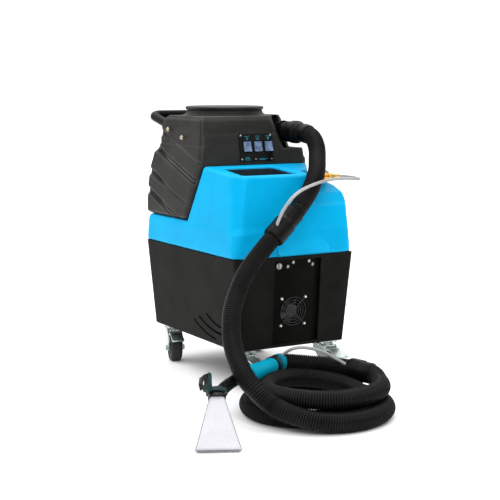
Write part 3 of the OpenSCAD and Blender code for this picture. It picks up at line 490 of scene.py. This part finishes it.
# The route's centreline from the tank's inlet to the hand tool's grip, with the two cuffs on its way
ELBOW = [(131, -22, 649), (133, -44, 649), (138, -74, 648), (140, -100, 643), (138, -124, 633),
         (131, -148, 617), (120, -170, 600)]
UPPER = [(105, -193, 584), (83, -226, 563), (61, -251, 542), (39, -270, 521), (18, -284, 503),
         (-1, -293, 487), (-18, -299, 472), (-33, -304, 460)]
LOWER = [(-100, -311, 403), (-127, -315, 380), (-155, -320, 355), (-190, -330, 322), (-222, -345, 280),
         (-250, -367, 236), (-268, -396, 193), (-282, -434, 160), (-293, -478, 135), (-298, -508, 118),
         (-296, -532, 103), (-288, -550, 88), (-273, -564, 68)]
TAIL = [(43, -446, 80), (30, -418, 80), (8, -388, 81), (-20, -364, 82), (-42, -348, 84), (-66, -336, 86),
        (-92, -330, 88), (-112, -343, 89), (-134, -357, 89)]
MID_CUFF = (at(-33, -304, 460), at(-104, -312, 400))
COIL_END = (68, -502, 76)
TOOL_CUFF = (at(*COIL_END), at(43, -446, 80))

# The coil about its middle: turn in degrees, radius and height
COIL_AT = (-105, -512)
COIL = [(203.5, 167, 54), (220, 170, 40), (240, 171, 27), (260, 170, 23), (360, 167, 23), (450, 165, 23),
        (480, 165, 23), (540, 150, 23), (563, 137, 23), (580, 126, 23), (600, 122, 23), (630, 121, 23),
        (675, 120, 30), (720, 120, 44), (810, 118, 66), (855, 116, 62), (900, 118, 64), (930, 120, 67),
        (990, 130, 67), (1035, 150, 67), (1070, 166, 67)]


def coil_route():
    """Points along the coil, with the steps in its radius and height smoothed out."""
    turns, radii, heights = np.array(COIL, float).T
    degrees_apart, passes = 12, 3
    sampled = np.arange(turns[0], turns[-1] + 1, degrees_apart)
    r, z = np.interp(sampled, turns, radii), np.interp(sampled, turns, heights)
    kernel = np.array([1, 2, 1]) / 4
    for _ in range(passes):
        r[1:-1] = np.convolve(r, kernel, "valid")
        z[1:-1] = np.convolve(z, kernel, "valid")
    a = np.radians(sampled)
    rows = np.stack([COIL_AT[0] + r * np.cos(a), COIL_AT[1] + r * np.sin(a), z], axis=1)
    return [tuple(row) for row in rows]


def ribbed_radii(path, pitch, low, high, sides):
    """Radii of a hose with one rib wound round it."""
    turns = distance_along(path)[:, None] / (pitch * MM)
    phase = turns + np.arange(sides)[None, :] / sides
    wave = 0.5 + 0.5 * np.cos(2 * np.pi * phase)
    return (low + (high - low) * wave ** 0.7) * MM


def add_vacuum_hose():
    sides = 24
    rows = route(ELBOW + UPPER + LOWER + coil_route() + [COIL_END] + TAIL)
    path = smooth_route(rows, RIB_PITCH / STEPS_A_RIB * MM)
    radii = ribbed_radii(path, RIB_PITCH, HOSE_R - RIB_DEPTH, HOSE_R, sides)
    hose = piece("vacuum_hose", *sweep(path, radii, sides), hose_black, slot="hose_black")
    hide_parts("upper_hose", "lower_hose", "hose_coil", "tail_hose")
    return hose, path


def ring_rows(first, count, step, width, low, high):
    """Rows of a profile with several raised rings, their edges a little slanted."""
    slant = 0.6
    rows = []
    for k in range(count):
        h = first + k * step
        rows += [(low, h), (high, h + slant), (high, h + width - slant), (low, h + width)]
    return rows


def add_inlet_sleeve():
    """The big ringed sleeve at the tank's inlet and the collar where the hose leaves it."""
    sleeve = [(20, 0), (28, 0), (28, 3), *ring_rows(5, 3, 6.5, 4, 26.5, 28.5), (28, 26), (31, 29), (31, 34),
              (29.5, 36), (29.5, 38.5), (31, 40), (31, 47), (29, 51), (25, 58), (24, 62), (21, 62)]
    collar = [(21, 0), (25.2, 0), (25.6, 3), (25.6, 17), (25.2, 20), (21, 22)]
    elbow = piece("inlet_sleeve", *joined(
        lathe(rounded(sleeve, 0.9), aim(at(131, -2, 649), at(136, -60, 649))),
        lathe(rounded(collar, 0.9), aim(at(138, -76, 648), at(140, -100, 643)))),
        cuff_black, slot="hose_black")
    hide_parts("hose_elbow")
    return elbow


def add_middle_cuff():
    """The cuff that takes the solution line into the hose, with the line's boss on its side."""
    middle = [(22, 0), (25.5, 0), (25.5, 4), *ring_rows(6, 4, 6.5, 3.6, 24.6, 25.5), (25.5, 33), (28.5, 40),
              (28.5, 86), (28, 89), (26, 93), (22, 93)]
    boss = [(0, 0), (7.5, 0), (7.5, 18), (6.4, 19), (6.4, 24), (0, 24)]
    cuff = piece("middle_cuff", *joined(
        lathe(rounded(middle, 1.2), aim(*MID_CUFF)),
        lathe(rounded(boss, 0.8), Matrix.Translation(at(-98, -321, 413)), 32)),
        cuff_black, slot="cuff_black")
    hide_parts("mid_cuff")
    return cuff


def add_tool_cuff():
    """The cuff where the coil ends and the solution line comes out again."""
    tool = [(21, 0), (26, 0), (26, 4), *ring_rows(6, 2, 7, 4, 25, 26), (26, 21), (28, 25), (28, 58),
            (27, 62), (21, 62)]
    boss = [(0, 0), (7.5, 0), (7.5, 26), (6, 28), (6, 34), (0, 34)]
    tool_cuff = piece("tool_end_cuff", *joined(
        lathe(rounded(tool, 1.2), aim(*TOOL_CUFF)),
        lathe(rounded(boss, 0.8), aim(at(51, -473, 79), at(31, -447, 91)), 32)),
        cuff_black, slot="cuff_black")
    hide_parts("tool_cuff")
    return tool_cuff


# ---- solution lines ----

UPPER_LINE = [(166, -200, 538), (182, -201, 537), (198, -209, 535), (206, -226, 533), (202, -246, 532),
              (186, -260, 533), (150, -268, 536), (108, -273, 537), (62, -288, 534), (18, -307, 528),
              (-26, -324, 518), (-62, -335, 500), (-86, -338, 475), (-96, -331, 450), (-98, -323, 432)]
LOWER_LINE = [(31, -447, 91), (18, -438, 100), (4, -433, 109), (-11, -427, 119), (-25, -420, 126),
              (-38, -411, 131), (-50, -402, 134), (-61, -392, 135), (-71, -382, 134), (-79, -371, 130),
              (-84, -358, 123), (-88, -346, 114), (-92, -337, 104)]


def add_line(name, rows, node):
    radius, step, sides = 4 * MM, 3 * MM, 20
    path = smooth_route(route(rows), step)
    line = piece(name, *sweep(path, radius, sides), line_grey, slot="line_grey")
    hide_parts(node)


# ---- hand tool ----

GRIP = (at(-87, -327, 88), at(-238, -423, 92))
TOOL_ROUTE = [(-234, -420, 92), (-248, -430, 93), (-265, -440, 94), (-288, -455, 95), (-320, -484, 97),
              (-361, -531, 102), (-392, -571, 105), (-408, -588, 104), (-420, -601, 98)]


def add_grip():
    """A sleeve with a flared rim at each end."""
    long = (GRIP[1] - GRIP[0]).length / MM
    profile = [(17, 0), (21, 0), (23, 3), (23, 20), (22, 24), (22, 30), (20.5, 60), (20.5, long - 70),
               (22.2, long - 32), (22.2, long - 27), (23, long - 23), (23, long - 3), (21, long), (13, long)]
    grip = piece("grip_sleeve", *lathe(rounded(profile, 1.5), aim(*GRIP)), grip_cyan, slot="grip_cyan")
    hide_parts("tool_grip")
    return grip


def add_tool_tube():
    """The bent tube with the ringed head that holds the nozzle."""
    radius, step, sides = 14.5 * MM, 5 * MM, 32
    wand = sweep(smooth_route(route(TOOL_ROUTE), step), radius, sides)
    head = [(0, -2), (20, -2), (20, 6), (17, 7), (17, 10), (21, 10.5), (21, 17), (15, 19), (0, 19)]
    foot = lathe(rounded(head, 0.9), TOOL_HEAD)
    tube = piece("wand_tube", *joined(wand, foot), gloss_black, slot="tool_black")
    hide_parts("tool_tube")


def oblong(width, depth, corner, height):
    """A ring round a rounded rectangle, in the tool head's frame."""
    sides = 12
    ring = []
    for k, (sx, sy) in enumerate([(1, 1), (-1, 1), (-1, -1), (1, -1)]):
        for step in range(sides + 1):
            a = math.pi / 2 * (k + step / sides)
            x = sx * (width / 2 - corner) + corner * math.cos(a)
            y = sy * (depth / 2 - corner) + corner * math.sin(a)
            ring.append(TOOL_HEAD @ (Vector((x, y, height)) * MM))
    return ring


def add_nozzle():
    """A flat flared nozzle, hollow, with a straight lip and a raised rib down each side edge, coloured dark
    as painted shade along the clear plastic's outline.
    """
    wall, edge_line_radius = 2, 1.5 * MM
    outer = [(34, 30, 10, -3), (39, 28.5, 10, -14), (50, 26, 9, -34), (63, 22, 8, -58), (76, 18.5, 7, -82),
             (86, 16, 6, -100), (92.5, 14.2, 5, -112), (94.5, 14, 5, -116), (97, 14, 5, -117.5),
             (97, 14, 5, -123)]
    rings = [oblong(*row) for row in outer]
    rings += [oblong(w - 2 * wall, d - 2 * wall, max(c - wall, 2), h)
              for w, d, c, h in reversed(outer)]
    verts = [v for ring in rings for v in ring]
    nozzle = piece("flat_nozzle", verts, bridged(rings, looped=True), milky, slot="nozzle_white")
    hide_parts("tool_nozzle")
    # Dark ribs down both side edges: painted shade along the nozzle's outline.
    shaded_edge_lines = []
    for side in (-1, 1):
        rows = [TOOL_HEAD @ (Vector((side * w / 2, 0, h)) * MM) for w, _, _, h in outer]
        shaded_edge_lines.append(sweep(np.array(rows), edge_line_radius, 10))
    piece("nozzle_shaded_edge_lines", *joined(*shaded_edge_lines), edge_shade_grey, slot="nozzle_white")


# ---- recovery tank ----

# Cross-sections of the tank: height, front, back and half width
LOWER_SECTIONS = [(416.6, 34, 250, 166), (424, 20, 262, 177), (480, -6, 262, 176), (543, -35, 254, 172),
                  (566, -46, 245, 169), (592, -42, 232, 167), (616, -39, 200, 163)]
UPPER_SECTIONS = [(570, -45, 198, 160), (648, -34, 207, 160), (664, -32, 205, 160), (684, -29, 194, 157),
                  (694, -20, 178, 147)]
NECK = (-4, 112)
MOUTH_R = 92

# The corners' radius, the depth from the skin to the hollow and the middle line of the hose inlet
CORNER_R, SKIN, INLET = 13, 21, (131, 649)

# Slanting ridges on each side: height at y = 100 and slope, with how the tank steps there
RIDGES = [("step", 622.5, 0.305), ("double", 564, 0.332), ("crease", 489.5, 0.313), ("double", 427.5, 0.356)]


def tank_block(sections, inset=0.0):
    """The hull of some cross-sections with rounded vertical corners."""
    middle_y, steps = 100, 7
    corners = []
    for height, front, back, half in sections:
        for sx, y in ((-1, front + inset), (1, front + inset), (1, back - inset), (-1, back - inset)):
            x, inward = sx * (half - inset), CORNER_R if y < middle_y else -CORNER_R
            for a in np.linspace(0, math.pi / 2, steps):
                across = sx * CORNER_R * (1 - math.cos(a))
                corners.append(at(x - across, y + inward * (1 - math.sin(a)), height))
    return hull(corners)


def inlet_prism():
    """The slanting space cut from the front right corner for the hose inlet."""
    turn = Matrix.Translation(at(86, -40, 606)) @ Matrix.Rotation(math.radians(45), 4, "Z")
    profile = [(0, 0), (-150, 0), (-150, 100), (35, 100)]
    ends = [[turn @ (Vector((x, y, z)) * MM) for y, z in profile] for x in (-100, 220)]
    return hull(ends[0] + ends[1])


def inlet_post(radius, start_y, end_y):
    """A round post along the hose inlet's middle line."""
    x, z = INLET
    long = abs(end_y - start_y)
    return lathe([(0, 0), (radius, 0), (radius, long), (0, long)], aim(at(x, start_y, z), at(x, end_y, z)))


def groove(above, depth, width):
    return depth * np.exp(-(above / width) ** 2)


def ledge(above, depth, width):
    return depth / (1 + np.exp(-above / width))


def ridge_depth(y, z):
    """How far the side is pressed in at a point, in millimetres. Every ridge runs out into a deep, wide
    notch at the rear corner."""
    rear = np.clip((y - 130) / 60, 0, 1)
    depth = np.zeros_like(y)
    for kind, level, slope in RIDGES:
        above = (z - (level + slope * (y - 100))) / math.hypot(1, slope)
        if kind == "double":
            depth += groove(above + 5.5, 5.5, 2.6) + groove(above - 5.5, 5.5, 2.6)
            depth += groove(above, 1.2 + 11 * rear, 8)
        if kind == "step":
            depth += ledge(above, 2.6, 1.3) - groove(above + 3, 1.0, 2.4)
            depth += groove(above + 7, 15 * rear, 7)
        if kind == "crease":
            depth += groove(above, 1.4 + 13 * rear, 2.5 + 5 * rear)
    return depth


def press_ridges(mesh):
    """Presses the slanting ridges into both sides, and the faint ledge into the front."""
    side_from, front_from, ledge_height = 0.13, 580, 646
    count = len(mesh.vertices)
    place, normal = np.empty(count * 3), np.empty(count * 3)
    mesh.vertices.foreach_get("co", place)
    mesh.vertices.foreach_get("normal", normal)
    place, normal = place.reshape(-1, 3), normal.reshape(-1, 3)
    y, z = place[:, 1] / MM - BODY_Y, place[:, 2] / MM
    side = np.clip((np.abs(normal[:, 0]) - 0.2) / 0.4, 0, 1) * (np.abs(place[:, 0]) > side_from)
    front = np.clip((-normal[:, 1] - 0.5) / 0.3, 0, 1) * (z > front_from)
    depth = side * ridge_depth(y, z) + front * ledge(z - ledge_height, 1.6, 1.5)
    place -= normal * depth[:, None] * MM
    mesh.vertices.foreach_set("co", place.ravel())
    mesh.update()


def add_recovery_tank():
    """A lower and an upper block with the neck and the inlet, melted into one skin and hollowed out."""
    neck = [(0, 668), (128, 668), (128, 690), (112, 696), (106, 701), (104, 706), (104, 713), (0, 713)]
    mouth = [(0, 640), (MOUTH_R, 640), (MOUTH_R, 740), (0, 740)]
    neck_axis = Matrix.Translation(at(*NECK, 0))
    tank = piece("recovery_tank_shell", *tank_block(LOWER_SECTIONS), tank_black, slot="tank_black")
    for part in (tank_block(UPPER_SECTIONS), lathe(neck, neck_axis, sides=96)):
        cut(tank, *part, operation="UNION")
    cut(tank, *inlet_prism())
    cut(tank, *inlet_post(radius=29, start_y=20, end_y=80), operation="UNION")
    cut(tank, *inlet_post(radius=31, start_y=20, end_y=-70))
    melt(tank, voxel=2.3, turns=8)
    press_ridges(tank.data)
    for inner in (tank_block(LOWER_SECTIONS, SKIN), tank_block(UPPER_SECTIONS, SKIN),
                  lathe(mouth, neck_axis, sides=96)):
        cut(tank, *inner)
    finish_only(tank, tank_black)
    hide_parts("recovery_tank")


def add_lid():
    """A shallow disc with a rolled edge and a skirt inside the mouth."""
    profile = [(0, 716), (85, 716), (85, 708), (89, 708), (89, 715.2), (104.8, 715.2), (104.8, 710),
               (107, 710), (108, 711), (108, 716), (105, 718.4), (98, 719), (94, 718.2), (90, 719), (40, 720),
               (0, 720)]
    axis = Matrix.Translation(at(*NECK, 0))
    lid = piece("lid_disc", *lathe(rounded(profile, 0.8), axis, sides=128), lid_black, slot="lid_black",
                body="lid")
    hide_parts("lid")


def add_handle():
    """A tube bent back from both sides of the tank and across behind it."""
    reach, bend, half = 258, 32, 140
    radius, step, sides = 12 * MM, 4 * MM, 40
    bent = [(half - bend * (1 - math.cos(a)), reach - bend * (1 - math.sin(a)))
            for a in np.linspace(0, math.pi / 2, 9)]
    right = [(half, -10), (half, 60), (half, 150), *bent]
    rows = right + [(0, reach)] + [(-x, y) for x, y in reversed(right)]
    path = smooth_route(np.array([HANDLE_FRAME @ (Vector((x, y, 0)) * MM) for x, y in rows]), step)
    handle = piece("bent_handle", *sweep(path, radius, sides), handle_black, slot="handle_black")
    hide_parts("handle")


# ---- solution tank and base ----

def add_solution_tank():
    """The drawn tank with crisper rear corners and soft edges, solid under its cap and its coupler."""
    source = nodes["solution_tank"].data
    verts = squared([tuple(v.co) for v in source.vertices], heights=(342, 404, 415),
                    widths=(358, 352, 344), depths=(512, 504, 496), deck_only=True)
    faces = [tuple(p.vertices) for p in source.polygons]
    seat = lathe([(0, 485), (17.6, 485), (17.6, 533), (0, 533)], Matrix.Translation(at(134, -157, 0)))
    bore = lathe([(0, 0), (9, 0), (9, 60), (0, 60)], aim(at(30, -200, 538), at(90, -200, 538)))
    tank = piece("solution_tank_shell", *joined((verts, faces), seat, bore), tank_blue, slot="tank_blue")
    melt(tank, voxel=3.0, turns=9)
    finish_only(tank, tank_blue)
    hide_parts("solution_tank")


def add_base():
    """The tub, with crisper vertical corners."""
    source = nodes["base_shell"].data
    verts = squared([tuple(v.co) for v in source.vertices], heights=(104, 342), widths=(324, 358),
                    depths=(478, 512))
    faces = [tuple(p.vertices) for p in source.polygons]
    base = piece("base_tub", verts, faces, base_black, slot="base_black")
    soften(base, width=1.4)
    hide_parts("base_shell")


# ---- wheels ----

# Each caster's place and the turn of its fork in degrees
CASTERS = {"front_left": (-126, -200, 8), "front_right": (126, -200, 3),
           "rear_left": (-126, 200, -16), "rear_right": (126, 200, 12)}
TRAIL, WHEEL_R = 30, 38


def add_wheel(corner):
    """A tyre on a dished hub, set off from its swivel by the trail."""
    x, y, turn = CASTERS[corner]
    swivel = Matrix.Translation(at(x, y, WHEEL_R)) @ Matrix.Rotation(math.radians(turn), 4, "Z")
    axle = swivel @ Matrix.Translation((0, -TRAIL * MM, 0)) @ Matrix.Rotation(math.radians(90), 4, "Y")
    tyre = [(27, -13), (29, -14.6), (32, -16), (35, -14.8), (37.2, -12), (38, -7), (38, 7), (37.2, 12),
            (35, 14.8), (32, 16), (29, 14.6), (27, 13)]
    hub = [(27.2, -12.5), (25.5, -14.5), (23.5, -13), (22, -10), (13, -10), (11.5, -15), (10.5, -16),
           (4.2, -16), (4.2, 16), (10.5, 16), (11.5, 15), (13, 10), (22, 10), (23.5, 13), (25.5, 14.5),
           (27.2, 12.5)]
    tyre_part = lathe(tyre, axle, 72, looped=True)
    hub_part = lathe(rounded(hub, 0.8), axle, 72, looped=True)
    wheel = piece(f"tyre_and_hub_{corner}", *joined(tyre_part, hub_part), rubber, slot="wheel_rubber",
                  body=f"wheel_{corner}")
    wheel.data.materials.append(hub_black)
    for face in list(wheel.data.polygons)[len(tyre_part[1]):]:
        face.material_index = 1
    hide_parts(f"wheel_{corner}")


# ---- switch panel marks ----

def mark_stroke(points):
    """A raised stroke on the switch panel, through (across, up) points in millimetres."""
    radius, face_y = 0.55 * MM, -3.3
    rows = np.array([TANK_FRONT @ (Vector((x, face_y, z)) * MM) for x, z in points])
    return sweep(rows, radius, 8)


def arc(x, z, r, start, end):
    """Points along an arc on the switch panel, from one angle to another in degrees."""
    count = 12
    return [(x + r * math.cos(math.radians(a)), z + r * math.sin(math.radians(a)))
            for a in np.linspace(start, end, count)]


def add_marks():
    """Plain marks: a drop, a wave and a fan over the switches, each with a bar, and a few below them."""
    strokes = []
    for x in (-20, 13, 46):
        strokes.append([(x - 7, 74.5), (x + 7, 74.5)])
    strokes += [arc(-20, 68, 2.6, 130, 410), [(-21.7, 70), (-20, 73), (-18.3, 70)]]
    strokes += [[(x, 66 + 2 * (k % 2) + 2) for k, x in enumerate(range(7, 20, 2))], [(8, 66), (18, 66)]]
    strokes += [arc(46, 68.5, 3, 0, 330), [(43.5, 66), (48.5, 71)], [(43.5, 71), (48.5, 66)]]
    strokes += [arc(-21, 11, 8, 20, 160), arc(-21, 11, 4.5, 20, 160), [(-30, 11), (-12, 11)]]
    strokes += [[(14, 14), (40, 14)], [(14, 11), (36, 11)]]
    piece("switch_marks", *joined(*[mark_stroke(s) for s in strokes]), icon_cyan, slot="bezel_black")


# ---- everything in place ----

hose, hose_path = add_vacuum_hose()
cuffs = [add_inlet_sleeve(), add_middle_cuff(), add_tool_cuff()]
grip = add_grip()
add_tool_tube()
add_nozzle()
add_line("upper_solution_line", UPPER_LINE, "upper_line")
add_line("lower_solution_line", LOWER_LINE, "lower_line")

add_recovery_tank()
add_solution_tank()
add_base()
add_lid()
add_handle()
for corner in CASTERS:
    add_wheel(corner)
add_marks()

# The parts kept at their drawn shape: finish and the width of their rounded edges
DRESSED = {
    "front_panel": (panel_black, 0.8), "panel_fasteners": (dull_steel, 0.5),
    "fan_frame": (fan_black, 0.8), "fan_rotor": (fan_grey, 0.4), "fan_guard": (fan_grey, 0.2),
    "fan_screws": (steel, 0.3), "power_inlets": (gloss_black, 0.6), "vacuum_motor": (motor_grey, 1.0),
    "solution_pump": (motor_grey, 1.0), "caster_plates": (teal_reflection_zinc, 0.5), "caster_bolts": (steel, 0.4),
    "bin_liner": (slate, 0.6), "fill_cap": (cap_blue, 1.2), "standpipe": (pipe_white, 0.8),
    "lid_gasket": (rubber, 0.4), "handle_screws": (warm_steel, 0.6), "switch_panel": (gloss_black, 0.6),
    "rocker_left": (lit_blue, 0.7), "rocker_middle": (lit_blue, 0.7), "rocker_right": (lit_blue, 0.7),
    "switch_screws": (steel, 0.3), "hose_inlet": (cuff_black, 0.8), "drain_valve": (gloss_black, 0.8),
    "drain_lever": (lever_red, 1.0), "solution_coupler": (brass, 0.5), "coupler_collar": (bronze, 0.5),
    "coupler_plug": (brass, 0.5), "tool_valve": (valve_teal, 0.8), "tool_trigger": (gloss_black, 1.0),
}
for corner in CASTERS:
    DRESSED[f"fork_{corner}"] = (teal_reflection_zinc, 0.6)
    DRESSED[f"brake_{corner}"] = (teal_reflection_zinc, 0.8)
for name, (finish, width) in DRESSED.items():
    dress(name, finish, width)
